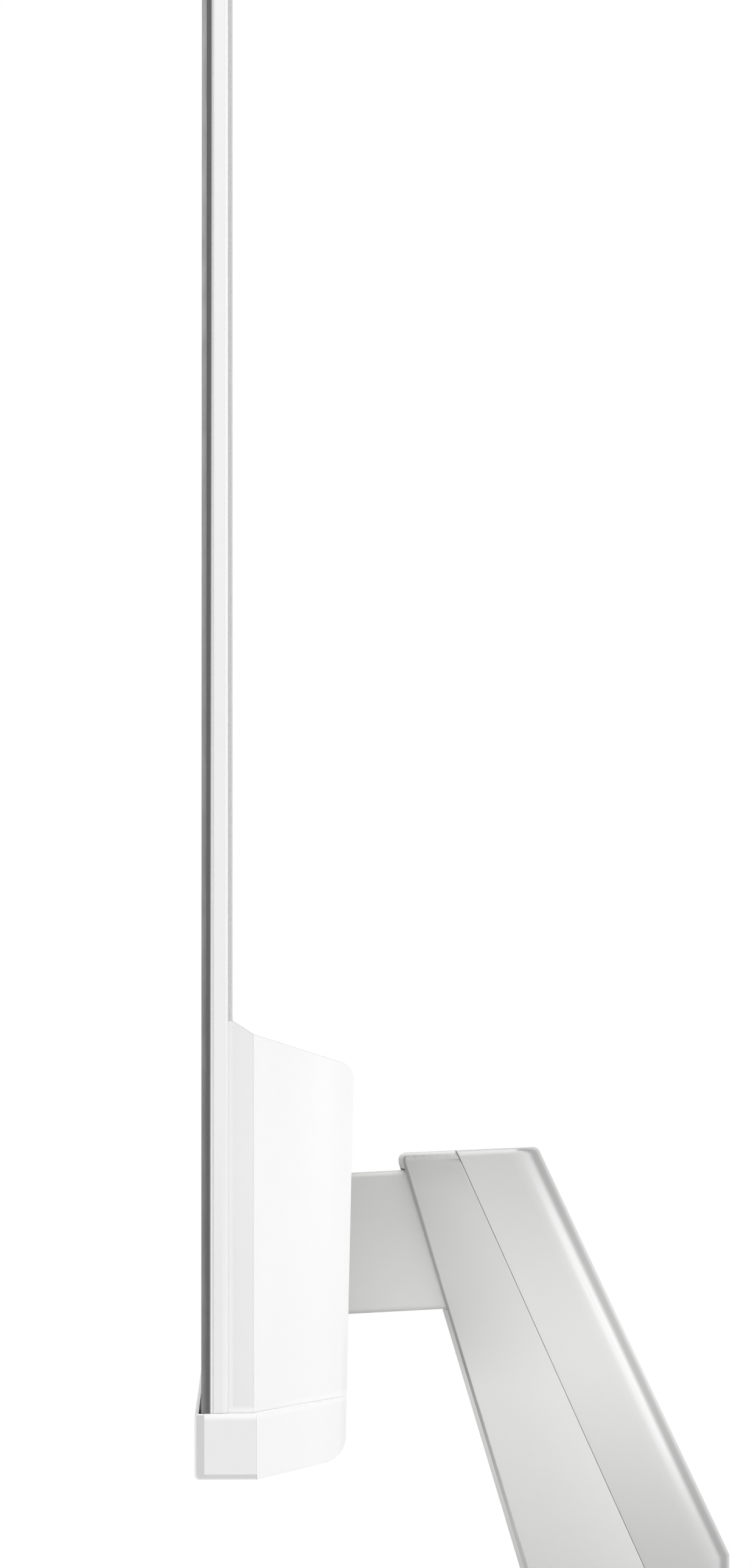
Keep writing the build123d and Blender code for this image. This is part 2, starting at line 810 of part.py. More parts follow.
with BuildPart() as neck_front_shell:
    for z in (base_top, land_z, neck_top + shell_t):
        with BuildSketch(Plane.XY.offset(z)):
            with BuildLine():
                Polyline(
                    (-front_w / 2, neck_front(z)),
                    (front_w / 2, neck_front(z)),
                    (side_w / 2, neck_crease(z) - shell_seam),
                    (-side_w / 2, neck_crease(z) - shell_seam),
                    close=True,
                )
            section = make_face()
            fillet(section.vertices().group_by(Axis.Y)[0], front_round)
    loft(ruled=True)
    split(bisect_by=top_plane, keep=Keep.BOTTOM)
    fillet(neck_front_shell.faces().sort_by(Axis.Z)[-1].edges().sort_by(Axis.Y)[:-1], top_round)
    for z in (base_top - shell_t, land_z, neck_top - shell_t):
        inner_front = neck_front(z) + shell_t
        inner_back = neck_crease(z) + shell_t
        with BuildSketch(Plane.XY.offset(z)):
            with BuildLine():
                Polyline(
                    (-flank_x(z, inner_front), inner_front),
                    (flank_x(z, inner_front), inner_front),
                    (flank_x(z, inner_back), inner_back),
                    (-flank_x(z, inner_back), inner_back),
                    close=True,
                )
            make_face()
    loft(ruled=True, mode=Mode.SUBTRACT)
    # Window for the arm
    window_x = span(0, arm_w + 2 * side_gap)
    window_y = (neck_front_y - shell_t, arm_low_y)
    window_low = arm_mid(neck_front(arm_low)) - arm_h / 2
    window_high = arm_mid(neck_front_y + 2 * shell_t) + arm_h / 2
    window_z = (window_low - side_gap, window_high + side_gap)
    block(window_x, window_y, window_z, Mode.SUBTRACT)
save(neck_front_shell, "neck_front_shell")

rear_skin = shell_t / math.cos(math.atan2(neck_rear(knee_z) - neck_rear(neck_top), neck_top - knee_z))

with BuildPart() as neck_rear_shell:
    with BuildSketch(Plane.YZ):
        with BuildLine():
            Polyline(
                (neck_crease(base_top), base_top),
                (knee_y, base_top),
                (knee_y, knee_z),
                (neck_rear(neck_top + shell_t), neck_top + shell_t),
                (neck_crease(neck_top + shell_t), neck_top + shell_t),
                close=True,
            )
        make_face()
    extrude(amount=side_w / 2, both=True)
    split(bisect_by=top_plane, keep=Keep.BOTTOM)
    back_faces = neck_rear_shell.faces().filter_by(lambda f: f.normal_at().Y > abs(f.normal_at().Z))
    fillet(back_faces.edges().filter_by(Axis.X, reverse=True), back_round)
    fillet(neck_rear_shell.faces().sort_by(Axis.Z)[-1].edges().sort_by(Axis.Y)[1:], top_round)
    with BuildSketch(Plane.YZ):
        with BuildLine():
            Polyline(
                (neck_crease(base_top - shell_t) - shell_t, base_top - shell_t),
                (knee_y - rear_skin, base_top - shell_t),
                (knee_y - rear_skin, knee_z),
                (neck_rear(neck_top - shell_t) - rear_skin, neck_top - shell_t),
                (neck_crease(neck_top - shell_t) - shell_t, neck_top - shell_t),
                close=True,
            )
        make_face()
    extrude(amount=side_w / 2 - shell_t, both=True, mode=Mode.SUBTRACT)
save(neck_rear_shell, "neck_rear_shell")

spine_low_y = neck_front(base_top) + spine_set
spine_high = arm_high + side_gap
base_bolt_y = (spine_low_y + spine_t + base_bolt_edge, spine_low_y + spine_foot_d - base_bolt_edge)
base_bolt_places = [(sx * base_bolt_x, y) for sx in (-1, 1) for y in base_bolt_y]

with BuildPart() as neck_spine:
    with BuildSketch(Plane.YZ):
        with BuildLine():
            Polyline(
                (spine_low_y, base_top),
                (spine_low_y + spine_foot_d, base_top),
                (spine_low_y + spine_foot_d, base_top + spine_t),
                (neck_front(base_top + spine_t) + spine_set + spine_t, base_top + spine_t),
                (neck_front(spine_high) + spine_set + spine_t, spine_high),
                (neck_front(spine_high) + spine_set, spine_high),
                close=True,
            )
        make_face()
    extrude(amount=spine_w / 2, both=True)
    for x, y in base_bolt_places:
        rod_z(x, y, (base_top - spine_t, base_top + 2 * spine_t), bolt_r + bolt_gap, Mode.SUBTRACT)
    for x, z in arm_bolt_places:
        with BuildSketch(spine_plane(x, z)):
            Circle(bolt_r + bolt_gap)
        extrude(amount=spine_t * 2, both=True, mode=Mode.SUBTRACT)
save(neck_spine, "neck_spine")

# Base: a rounded cover over a steel weight, on rubber feet


def base_outline(inset):
    """Plan of the base, drawn in by an inset."""
    RectangleRounded(base_w - 2 * inset, base_d - 2 * inset, base_corner - inset)


with BuildPart() as base_cover:
    with BuildSketch(Plane.XY.offset(foot_h)):
        base_outline(0)
    extrude(amount=base_t)
    fillet(base_cover.faces().sort_by(Axis.Z)[-1].edges(), base_round)
    with BuildSketch(Plane.XY.offset(foot_h)):
        base_outline(base_rim)
    extrude(amount=weight_t, mode=Mode.SUBTRACT)
    for x, y in base_bolt_places:
        rod_z(x, y, (foot_h, base_top + base_t), bolt_r + bolt_gap, Mode.SUBTRACT)
save(base_cover, "base_cover")

head_low = foot_h + head_gap
head_seat = head_low + bolt_head_t

with BuildPart() as base_weight:
    with BuildSketch(Plane.XY.offset(foot_h)):
        base_outline(base_rim + weight_gap)
    extrude(amount=weight_t)
    for x, y in base_bolt_places:
        rod_z(x, y, (foot_h - base_t, base_top), bolt_r + bolt_gap, Mode.SUBTRACT)
        rod_z(x, y, (foot_h - base_t, head_seat), bolt_head_r + bolt_gap, Mode.SUBTRACT)
save(base_weight, "base_weight")

with BuildPart() as base_bolts:
    for x, y in base_bolt_places:
        rod_z(x, y, (head_low, head_seat), bolt_head_r)
        rod_z(x, y, (head_seat, base_top + spine_t), bolt_r)
save(base_bolts, "base_bolts")

with BuildPart() as rubber_feet:
    with Locations((0, 0, foot_h / 2)):
        with GridLocations(base_w - 2 * foot_edge, base_d - 2 * foot_edge, 2, 2):
            Cylinder(foot_r, foot_h)
save(rubber_feet, "rubber_feet")
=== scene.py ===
import math

import bmesh
import bpy
from mathutils import Matrix, Vector


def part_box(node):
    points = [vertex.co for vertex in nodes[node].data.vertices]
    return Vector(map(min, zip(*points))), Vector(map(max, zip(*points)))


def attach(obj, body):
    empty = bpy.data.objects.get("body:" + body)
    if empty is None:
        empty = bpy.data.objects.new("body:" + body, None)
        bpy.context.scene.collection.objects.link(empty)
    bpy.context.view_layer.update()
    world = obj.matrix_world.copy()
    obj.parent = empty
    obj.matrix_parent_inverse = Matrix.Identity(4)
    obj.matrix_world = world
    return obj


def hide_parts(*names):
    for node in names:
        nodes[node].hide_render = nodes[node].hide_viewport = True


# Slim desktop monitor seen from its edge, on a pale floor in soft light. Metres throughout.
# Object coordinates are the frame's own, because each node sits at the origin.

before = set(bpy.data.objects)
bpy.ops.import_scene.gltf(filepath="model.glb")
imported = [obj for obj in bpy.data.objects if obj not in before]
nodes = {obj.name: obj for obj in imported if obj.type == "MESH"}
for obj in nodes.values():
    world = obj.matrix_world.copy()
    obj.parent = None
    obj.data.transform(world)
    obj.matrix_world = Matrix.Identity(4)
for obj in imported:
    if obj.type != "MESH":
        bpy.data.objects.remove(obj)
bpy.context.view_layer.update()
scene = bpy.context.scene
scene.view_settings.view_transform = "Standard"


# Shader helpers


def feed(tree, node, inputs):
    """The node's inputs, each given as a value or as a socket to link."""
    for name, value in inputs.items():
        if isinstance(value, bpy.types.NodeSocket):
            tree.links.new(value, node.inputs[name])
        else:
            node.inputs[name].default_value = value


def add(tree, kind, inputs=None, **settings):
    """A node with its settings and its inputs."""
    node = tree.nodes.new(kind)
    for name, value in settings.items():
        setattr(node, name, value)
    feed(tree, node, inputs or {})
    return node


def new_material(name):
    """A material with one Principled shader, with its tree and that shader."""
    material = bpy.data.materials.new(name)
    material.use_nodes = True
    tree = material.node_tree
    tree.nodes.clear()
    shader = add(tree, "ShaderNodeBsdfPrincipled")
    add(tree, "ShaderNodeOutputMaterial", {"Surface": shader.outputs["BSDF"]})
    return material, tree, shader


def place(tree, stretch=(1, 1, 1)):
    """Object coordinates, stretched along each axis."""
    source = add(tree, "ShaderNodeTexCoord")
    inputs = {"Vector": source.outputs["Object"], "Scale": stretch}
    return add(tree, "ShaderNodeMapping", inputs).outputs["Vector"]


def noise(tree, vector, scale, detail=2.0):
    """Noise between 0 and 1, its scale in waves for each metre."""
    inputs = {"Vector": vector, "Scale": scale, "Detail": detail}
    return add(tree, "ShaderNodeTexNoise", inputs).outputs["Fac"]


def ramp(tree, factor, stops):
    """Colour ramp through (position, grey or colour) stops."""
    node = add(tree, "ShaderNodeValToRGB", {"Fac": factor})
    elements = node.color_ramp.elements
    while len(elements) < len(stops):
        elements.new(0.5)
    for element, (position, colour) in zip(elements, stops):
        element.position = position
        element.color = (*colour, 1.0) if isinstance(colour, tuple) else grey(colour)
    return node.outputs["Color"]


def span_map(tree, value, low, high, to_low=0.0, to_high=1.0, smooth=True):
    """A value's span carried over to another span, clamped."""
    node = add(
        tree,
        "ShaderNodeMapRange",
        {"Value": value, "From Min": low, "From Max": high, "To Min": to_low, "To Max": to_high},
        interpolation_type="SMOOTHSTEP" if smooth else "LINEAR",
    )
    return node.outputs["Result"]


def mixed(tree, factor, first, second):
    """Mix of two colours."""
    node = add(tree, "ShaderNodeMix", data_type="RGBA")
    spots = {socket.identifier: spot for spot, socket in enumerate(node.inputs)}
    inputs = {"Factor_Float": factor, "A_Color": first, "B_Color": second}
    feed(tree, node, {spots[name]: value for name, value in inputs.items()})
    return next(s for s in node.outputs if s.identifier == "Result_Color")


def darkened(tree, share, colour):
    """A colour taken towards black by a share."""
    return mixed(tree, share, colour, grey(0.0))


def maths(tree, operation, first, second=0.0):
    """A sum, product or the like of two values."""
    inputs = {0: first, 1: second}
    return add(tree, "ShaderNodeMath", inputs, operation=operation).outputs["Value"]


def product(tree, first, *others):
    """Product of two or more values."""
    for other in others:
        first = maths(tree, "MULTIPLY", first, other)
    return first


def absolute(tree, value):
    """A value without its sign."""
    return maths(tree, "ABSOLUTE", value)


def weighted(tree, first, second, share):
    """Sum of two values, the first by its share and the second by the rest."""
    rest = maths(tree, "MULTIPLY", second, 1.0 - share)
    return maths(tree, "ADD", maths(tree, "MULTIPLY", first, share), rest)


def axis_part(tree, vector, axis):
    """One axis of a vector."""
    return add(tree, "ShaderNodeSeparateXYZ", {"Vector": vector}).outputs[axis]


def facing(tree, axis):
    """One axis of the surface's own direction, in the object's frame."""
    return axis_part(tree, add(tree, "ShaderNodeTexCoord").outputs["Normal"], axis)


def sideways(tree):
    """How far the surface looks to either side."""
    return absolute(tree, facing(tree, "X"))


def bumped(tree, shader, height, strength, depth, soft_edge=0.0):
    """Fine relief on the shader's surface, over edges that look slightly rounded."""
    inputs = {"Height": height, "Strength": strength, "Distance": depth}
    if soft_edge:
        bevel = add(tree, "ShaderNodeBevel", {"Radius": soft_edge}, samples=4)
        inputs["Normal"] = bevel.outputs["Normal"]
    relief = add(tree, "ShaderNodeBump", inputs)
    feed(tree, shader, {"Normal": relief.outputs["Normal"]})


def grey(value):
    """A neutral colour."""
    return (value, value, value, 1.0)


# Plastics

noise_span = (0.3, 0.7)
plastic_grain = 1900.0
plastic_cloud = 9.0
plastic_relief = 0.00005
metal_relief = 0.00003


def between(tree, factor, low, high, span=noise_span):
    """Colour between two tones over the middle span of a noise."""
    return ramp(tree, factor, [(span[0], low), (span[1], high)])


def level(tree, factor, low, high):
    """Value between two others over the middle span of a noise."""
    return span_map(tree, factor, *noise_span, low, high)


def moulded_plastic(
    name, low, high, roughness, grain=plastic_grain, soft_edge=0.0, relief=0.12, shine=0.5,
    painted_shading=(),
):
    """Moulded plastic: a fine spark-eroded grain, a faint cloud in its tone and any painted light
    and shade.
    """
    spread = 0.06
    material, tree, shader = new_material(name)
    vector = place(tree)
    speck = noise(tree, vector, grain, 3.0)
    tone = between(tree, noise(tree, vector, plastic_cloud, 3.0), low, high)
    for apply_shading in painted_shading:
        tone = apply_shading(tree, vector, tone)
    feed(tree, shader, {
        "Base Color": tone,
        "Roughness": level(tree, speck, roughness - spread, roughness + spread),
        "Specular IOR Level": shine,
    })
    bumped(tree, shader, speck, relief, plastic_relief, soft_edge)
    return material


# Painted light and shade on the white pieces, each made for given places on the housing or the rim

wall_lean = math.tan(math.radians(1.5))
side_turn = (0.6, 0.9)
lip_blur = (0.0002, -0.0003)


def before_wall(tree, vector, seam_z, wall_y):
    """How far a point lies before the leaning rear wall, which stands at wall_y at the seam."""
    over_seam = maths(tree, "SUBTRACT", axis_part(tree, vector, "Z"), seam_z)
    wall = maths(tree, "ADD", maths(tree, "MULTIPLY", over_seam, wall_lean), wall_y)
    return maths(tree, "SUBTRACT", wall, axis_part(tree, vector, "Y"))


def painted_shade_down(top, foot, share):
    """Painted shade: tone that darkens from one height down to another."""

    def apply_shading(tree, vector, tone):
        height = axis_part(tree, vector, "Z")
        return darkened(tree, span_map(tree, height, top, foot, 0.0, share), tone)

    return apply_shading


def painted_corner_shade(seam_z, wall_y):
    """Painted shade on the corners of the rear wall, low down."""
    heights, depths, share = (0.105, 0.09), (0.0019, 0.0007), 0.07

    def apply_shading(tree, vector, tone):
        low_down = span_map(tree, axis_part(tree, vector, "Z"), *heights, 0.0, share)
        corner = span_map(tree, before_wall(tree, vector, seam_z, wall_y), *depths)
        return darkened(tree, product(tree, corner, low_down), tone)

    return apply_shading


def painted_flank_light(seam_z, wall_y):
    """Painted light on the tapered flanks, lightening them towards the rear wall and the roof."""
    turn_from, turn_to = (0.1, 0.22), (0.6, 0.4)
    run, run_shares = (0.019, 0.005), (0.3, 1.0)
    corner, corner_shares = (0.001, 0.008), (0.45, 1.0)
    heights, height_shares = (0.1, 0.158), (0.25, 0.85)
    pale = 0.9

    def apply_shading(tree, vector, tone):
        turn = sideways(tree)
        depth = before_wall(tree, vector, seam_z, wall_y)
        share = product(
            tree,
            span_map(tree, depth, *run, *run_shares),
            span_map(tree, depth, *corner, *corner_shares),
            span_map(tree, axis_part(tree, vector, "Z"), *heights, *height_shares),
            span_map(tree, turn, *turn_from),
            span_map(tree, turn, *turn_to),
        )
        return mixed(tree, share, tone, grey(pale))

    return apply_shading


def side_band_shade_and_highlight(seam_z, lip_y):
    """Painted shade on the side bands low down, behind a painted highlight on the front lip that
    ends at lip_y.
    """
    heights, share = (0.142, 0.112), 0.036
    lip_edge = [lip_y + blur for blur in lip_blur]
    lip_foot, lip_share, pale = (seam_z - 0.0005, seam_z + 0.0005), 0.4, 0.93

    def apply_shading(tree, vector, tone):
        side = span_map(tree, sideways(tree), *side_turn)
        height = axis_part(tree, vector, "Z")
        shade = product(tree, side, span_map(tree, height, *heights, 0.0, share))
        highlight_lip = product(
            tree,
            side,
            span_map(tree, axis_part(tree, vector, "Y"), *lip_edge),
            span_map(tree, height, *lip_foot, 0.0, lip_share),
        )
        return mixed(tree, highlight_lip, darkened(tree, shade, tone), grey(pale))

    return apply_shading


def shaded_rim(rear_y):
    """Sides of the rim that darken low down, as far back as rear_y."""
    heights, share = (0.158, 0.1), 0.06
    rear_edge = [rear_y + blur for blur in lip_blur]

    def apply_shading(tree, vector, tone):
        shade = product(
            tree,
            span_map(tree, sideways(tree), *side_turn),
            span_map(tree, axis_part(tree, vector, "Y"), *rear_edge),
            span_map(tree, axis_part(tree, vector, "Z"), *heights, 0.0, share),
        )
        return darkened(tree, shade, tone)

    return apply_shading


def painted_seam_highlight(seam_z):
    """Painted highlight along the seam, which also lightens the seam's groove where shade falls;
    fainter where the surface looks to the rear.
    """
    width, pale = (0.0018, 0.0002), 0.97
    rear_turn, rear_shares = (0.95, 0.6), (0.3, 1.0)

    def apply_shading(tree, vector, tone):
        off_seam = absolute(tree, maths(tree, "SUBTRACT", axis_part(tree, vector, "Z"), seam_z))
        off_rear = span_map(tree, absolute(tree, facing(tree, "Y")), *rear_turn, *rear_shares)
        share = product(tree, span_map(tree, off_seam, *width), off_rear)
        return mixed(tree, share, tone, grey(pale))

    return apply_shading


# Metals, paint, glass and the rest


def satin_metal(
    name, low, high, roughness, metallic, stretch, scale, relief=0.08, soft_edge=0.0, corner=0.0
):
    """Metal with a fine directional or bead-blasted finish.

    corner is how far a painted highlight turns the rounded front corners at the sides pale.
    """
    tone_span, line_share, cloud_scale = (0.35, 0.65), 0.45, 14.0
    duller, glossier = 0.07, 0.05
    corner_turn, front_turn, pale = (0.1, 0.35), (-0.1, -0.5), 0.95
    material, tree, shader = new_material(name)
    line = noise(tree, place(tree, stretch), scale, 4.0)
    cloud = noise(tree, place(tree), cloud_scale, 3.0)
    colour = between(tree, weighted(tree, line, cloud, line_share), low, high, tone_span)
    # Painted highlight on the rounded front corners at the sides
    if corner:
        side = span_map(tree, sideways(tree), *corner_turn)
        front = span_map(tree, facing(tree, "Y"), *front_turn, 0.0, corner)
        colour = mixed(tree, product(tree, side, front), colour, grey(pale))
    feed(tree, shader, {
        "Base Color": colour,
        "Roughness": level(tree, line, roughness - glossier, roughness + duller),
        "Metallic": metallic,
    })
    bumped(tree, shader, line, relief, metal_relief, soft_edge)
    return material


def plate_paint():
    """Painted sheet: a grey cut edge and a white back."""
    rear_turn, relief, depth, soft_edge = (0.55, 0.9), 0.1, 0.00004, 0.0002
    material, tree, shader = new_material("plate_paint")
    vector = place(tree)
    cloud = noise(tree, vector, plastic_cloud, 3.0)
    speck = noise(tree, vector, plastic_grain, 3.0)
    back = between(tree, cloud, (0.82, 0.82, 0.818), (0.84, 0.84, 0.838))
    cut = between(tree, speck, 0.57, 0.63)
    rearward = span_map(tree, facing(tree, "Y"), *rear_turn)
    feed(tree, shader, {
        "Base Color": mixed(tree, rearward, cut, back),
        "Roughness": level(tree, speck, 0.4, 0.5),
    })
    bumped(tree, shader, speck, relief, depth, soft_edge)
    return material


def screen_glass():
    """Dark coated glass: black front with a fainter picture area, and a ground grey edge."""
    margin, margin_blur = 0.006, 0.0004
    edge_foot, edge_head, edge_fall, edge_inner = 0.03, 0.02, 0.47, 0.2
    edge_turn, ground_roughness, coat_shine = (0.75, 0.45), 0.3, 0.14
    matt_grain, matt_relief, matt_depth = 2600.0, 0.05, 0.00002
    material, tree, shader = new_material("screen_glass")
    low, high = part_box("lcd_glass")
    vector = place(tree)
    width = absolute(tree, axis_part(tree, vector, "X"))
    height = axis_part(tree, vector, "Z")

    # Picture area inside a black margin
    side, foot, head = high.x - margin, low.z + margin, high.z - margin
    picture = product(
        tree,
        span_map(tree, width, side, side - margin_blur),
        span_map(tree, height, foot, foot + margin_blur),
        span_map(tree, height, head, head - margin_blur),
    )
    cloud = noise(tree, vector, 5.0, 2.0)
    border = between(tree, cloud, (0.0045, 0.0045, 0.005), (0.006, 0.006, 0.0066))
    lit = between(tree, cloud, (0.012, 0.0125, 0.014), (0.0145, 0.015, 0.0168))
    front = mixed(tree, picture, border, lit)

    # Ground edge, under painted shade that darkens it towards the foot, and darker towards the
    # frame
    edge = between(tree, noise(tree, place(tree, (1, 1, 0.15)), 900.0, 3.0), 0.4, 0.5)
    painted_low_shade = span_map(tree, height, low.z + edge_foot, high.z - edge_head, edge_fall, 0.0)
    inward = span_map(tree, axis_part(tree, vector, "Y"), low.y, high.y, 0.0, edge_inner)
    edge = darkened(tree, maths(tree, "ADD", painted_low_shade, inward), edge)
    on_edge = span_map(tree, absolute(tree, facing(tree, "Y")), *edge_turn)

    matt = noise(tree, vector, matt_grain, 2.0)
    ground = maths(tree, "MULTIPLY", on_edge, ground_roughness)
    feed(tree, shader, {
        "Base Color": mixed(tree, on_edge, front, edge),
        "Roughness": maths(tree, "ADD", level(tree, matt, 0.16, 0.22), ground),
        "Specular IOR Level": coat_shine,
    })
    bumped(tree, shader, matt, matt_relief, matt_depth)
    return material


def edge_frame():
    """Black frame whose sides carry a painted highlight towards the rim, over a wider strip low on
    the screen.
    """
    strip_low, strip_high, strip_inset, strip_blur = 0.00045, 0.0002, 0.04, 0.00028
    front_turn, relief = (-0.75, -0.45), 0.12
    material, tree, shader = new_material("frame_black")
    low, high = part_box("panel_frame")
    vector = place(tree)
    speck = noise(tree, vector, plastic_grain, 3.0)
    black = between(tree, speck, (0.088, 0.088, 0.09), (0.104, 0.104, 0.106))
    pale = between(tree, speck, 0.84, 0.88)
    # The pale strip at the frame's rear is a painted highlight
    heights = (low.z + strip_inset, high.z - strip_inset)
    strip = span_map(tree, axis_part(tree, vector, "Z"), *heights, strip_low, strip_high)
    from_back = maths(tree, "SUBTRACT", high.y, axis_part(tree, vector, "Y"))
    inside = maths(tree, "SUBTRACT", strip, from_back)
    highlight_lip = span_map(tree, inside, -strip_blur, strip_blur)
    not_front = span_map(tree, facing(tree, "Y"), *front_turn)
    feed(tree, shader, {
        "Base Color": mixed(tree, product(tree, highlight_lip, not_front), black, pale),
        "Roughness": level(tree, speck, 0.44, 0.56),
    })
    bumped(tree, shader, speck, relief, plastic_relief)
    return material


def stand_silver(name, low, high, roughness, relief=0.03, top_z=None, painted_shading=()):
    """Silver paint of the stand: fine metallic grain, a slow cloud, soft edges and any painted
    light and shade.

    top_z is the height of a top edge that looks more rounded than the others.
    """
    tone_span, grain_share = (0.32, 0.68), 0.15
    grain_scale, cloud_scale, cloud_stretch = 2600.0, 11.0, (1, 1, 0.6)
    spread = relief * 0.6
    soft_edge, top_edge, top_from, top_to = 0.0003, 0.0012, 0.004, 0.0025
    metallic, shine = 0.25, 0.3
    material, tree, shader = new_material(name)
    vector = place(tree)
    grain = noise(tree, vector, grain_scale, 4.0)
    cloud = noise(tree, place(tree, cloud_stretch), cloud_scale, 2.0)
    paint = between(tree, weighted(tree, grain, cloud, grain_share), low, high, tone_span)
    gloss = level(tree, grain, roughness - spread, roughness + spread)
    for apply_shading in painted_shading:
        paint, gloss = apply_shading(tree, vector, paint, gloss)
    if top_z:
        heights = (top_z - top_from, top_z - top_to)
        soft_edge = span_map(tree, axis_part(tree, vector, "Z"), *heights, soft_edge, top_edge)
    feed(tree, shader, {
        "Base Color": paint,
        "Roughness": gloss,
        "Metallic": metallic,
        "Specular IOR Level": shine,
    })
    bumped(tree, shader, grain, relief, metal_relief, soft_edge)
    return material


# Painted light and shade on the stand's paint, with changes to its gloss


def dulled(tree, gloss, share, amount):
    """Roughness raised by an amount where a share is full."""
    return maths(tree, "ADD", gloss, maths(tree, "MULTIPLY", share, amount))


def painted_light_at(middle, above, below):
    """Painted light and shade: paint that is brightest at one height, and darkens above and below
    it by shares.
    """
    reach, dulling = 0.065, 0.9

    def apply_shading(tree, vector, paint, gloss):
        height = axis_part(tree, vector, "Z")
        up = span_map(tree, height, middle, middle + reach, 0.0, above)
        down = span_map(tree, height, middle, middle - reach, 0.0, below)
        fall = maths(tree, "ADD", up, down)
        return darkened(tree, fall, paint), dulled(tree, gloss, fall, dulling)

    return apply_shading


def painted_shade_near_housing(dark_y, light_y, share):
    """Painted shade near the housing: paint that lightens with depth, away from it."""

    def apply_shading(tree, vector, paint, gloss):
        shade = span_map(tree, axis_part(tree, vector, "Y"), dark_y, light_y, share, 0.0)
        return darkened(tree, shade, paint), gloss

    return apply_shading


def rear_edge_shade_and_highlight(turned):
    """Painted shade on the rear edges up to a sideways turn, with a painted highlight strip midway
    on their rounding.
    """
    rear_turn, outer_turn, inner_turn = (0.02, 0.2), (0.3, 0.62), (turned + 0.08, turned - 0.08)
    edge_share, dulling = 0.33, 0.3
    round_from, round_to = (turned, turned + 0.09), (0.985, 0.92)
    strip_foot, strip_head, strip_share, pale = (0.035, 0.065), (0.145, 0.115), 0.32, 0.95

    def apply_shading(tree, vector, paint, gloss):
        turn = sideways(tree)
        height = axis_part(tree, vector, "Z")
        rearward = span_map(tree, facing(tree, "Y"), *rear_turn)
        outer = span_map(tree, turn, *outer_turn)
        edge = product(tree, rearward, outer, span_map(tree, turn, *inner_turn))
        paint = darkened(tree, maths(tree, "MULTIPLY", edge, edge_share), paint)
        rounding = product(tree, span_map(tree, turn, *round_from), span_map(tree, turn, *round_to))
        foot = span_map(tree, height, *strip_foot)
        head = span_map(tree, height, *strip_head)
        strip = product(tree, rounding, rearward, foot, head, strip_share)
        return mixed(tree, strip, paint, grey(pale)), dulled(tree, gloss, edge, dulling)

    return apply_shading


def painted_front_corner_shade(foot, middle, top):
    """Painted shade on the front corners, by shares at their foot, middle and top."""
    flank_heights, flank_turns = (0.03, 0.13), (0.45, 0.36)
    corner_turn, upward_turn, outward_turn = (0.04, -0.06), (0.75, 0.45), (0.0, 0.08)
    neck_h, stops, dulling = 0.14, [(0.25, foot), (0.57, middle), (0.75, top)], 0.5

    def apply_shading(tree, vector, paint, gloss):
        turn = sideways(tree)
        height = axis_part(tree, vector, "Z")
        flank = span_map(tree, height, *flank_heights, *flank_turns, smooth=False)
        off_flank = maths(tree, "SUBTRACT", turn, flank)
        not_up = span_map(tree, facing(tree, "Z"), *upward_turn)
        corner = product(tree, span_map(tree, off_flank, *corner_turn), not_up)
        shares = ramp(tree, maths(tree, "DIVIDE", height, neck_h), stops)
        shade = product(tree, corner, shares, span_map(tree, turn, *outward_turn))
        return darkened(tree, shade, paint), dulled(tree, gloss, corner, dulling)

    return apply_shading


def painted_top_edge_highlight(top_z):
    """Painted highlight on the rounded edge at the top, round a darker flat top."""
    edge_heights, edge_share, pale = (top_z - 0.0018, top_z - 0.0009), 0.45, 0.97
    flat_turn, flat_share = (0.86, 0.97), 0.25

    def apply_shading(tree, vector, paint, gloss):
        flat = span_map(tree, facing(tree, "Z"), *flat_turn)
        edge = span_map(tree, axis_part(tree, vector, "Z"), *edge_heights, 0.0, edge_share)
        edge = product(tree, edge, maths(tree, "SUBTRACT", 1.0, flat))
        paint = mixed(tree, edge, paint, grey(pale))
        return darkened(tree, maths(tree, "MULTIPLY", flat, flat_share), paint), gloss

    return apply_shading


# Finishes of the sockets, boards and films


def solder_mask():
    """Green circuit board with faint tracks."""
    material, tree, shader = new_material("circuit_board")
    cells = add(tree, "ShaderNodeTexBrick", {
        "Vector": place(tree),
        "Scale": 260.0,
        "Mortar Size": 0.03,
        "Color1": (0.02, 0.13, 0.06, 1.0),
        "Color2": (0.025, 0.15, 0.07, 1.0),
        "Mortar": (0.05, 0.24, 0.11, 1.0),
    })
    feed(tree, shader, {
        "Base Color": cells.outputs["Color"],
        "Roughness": span_map(tree, cells.outputs["Fac"], 0.0, 1.0, 0.45, 0.3),
    })
    return material


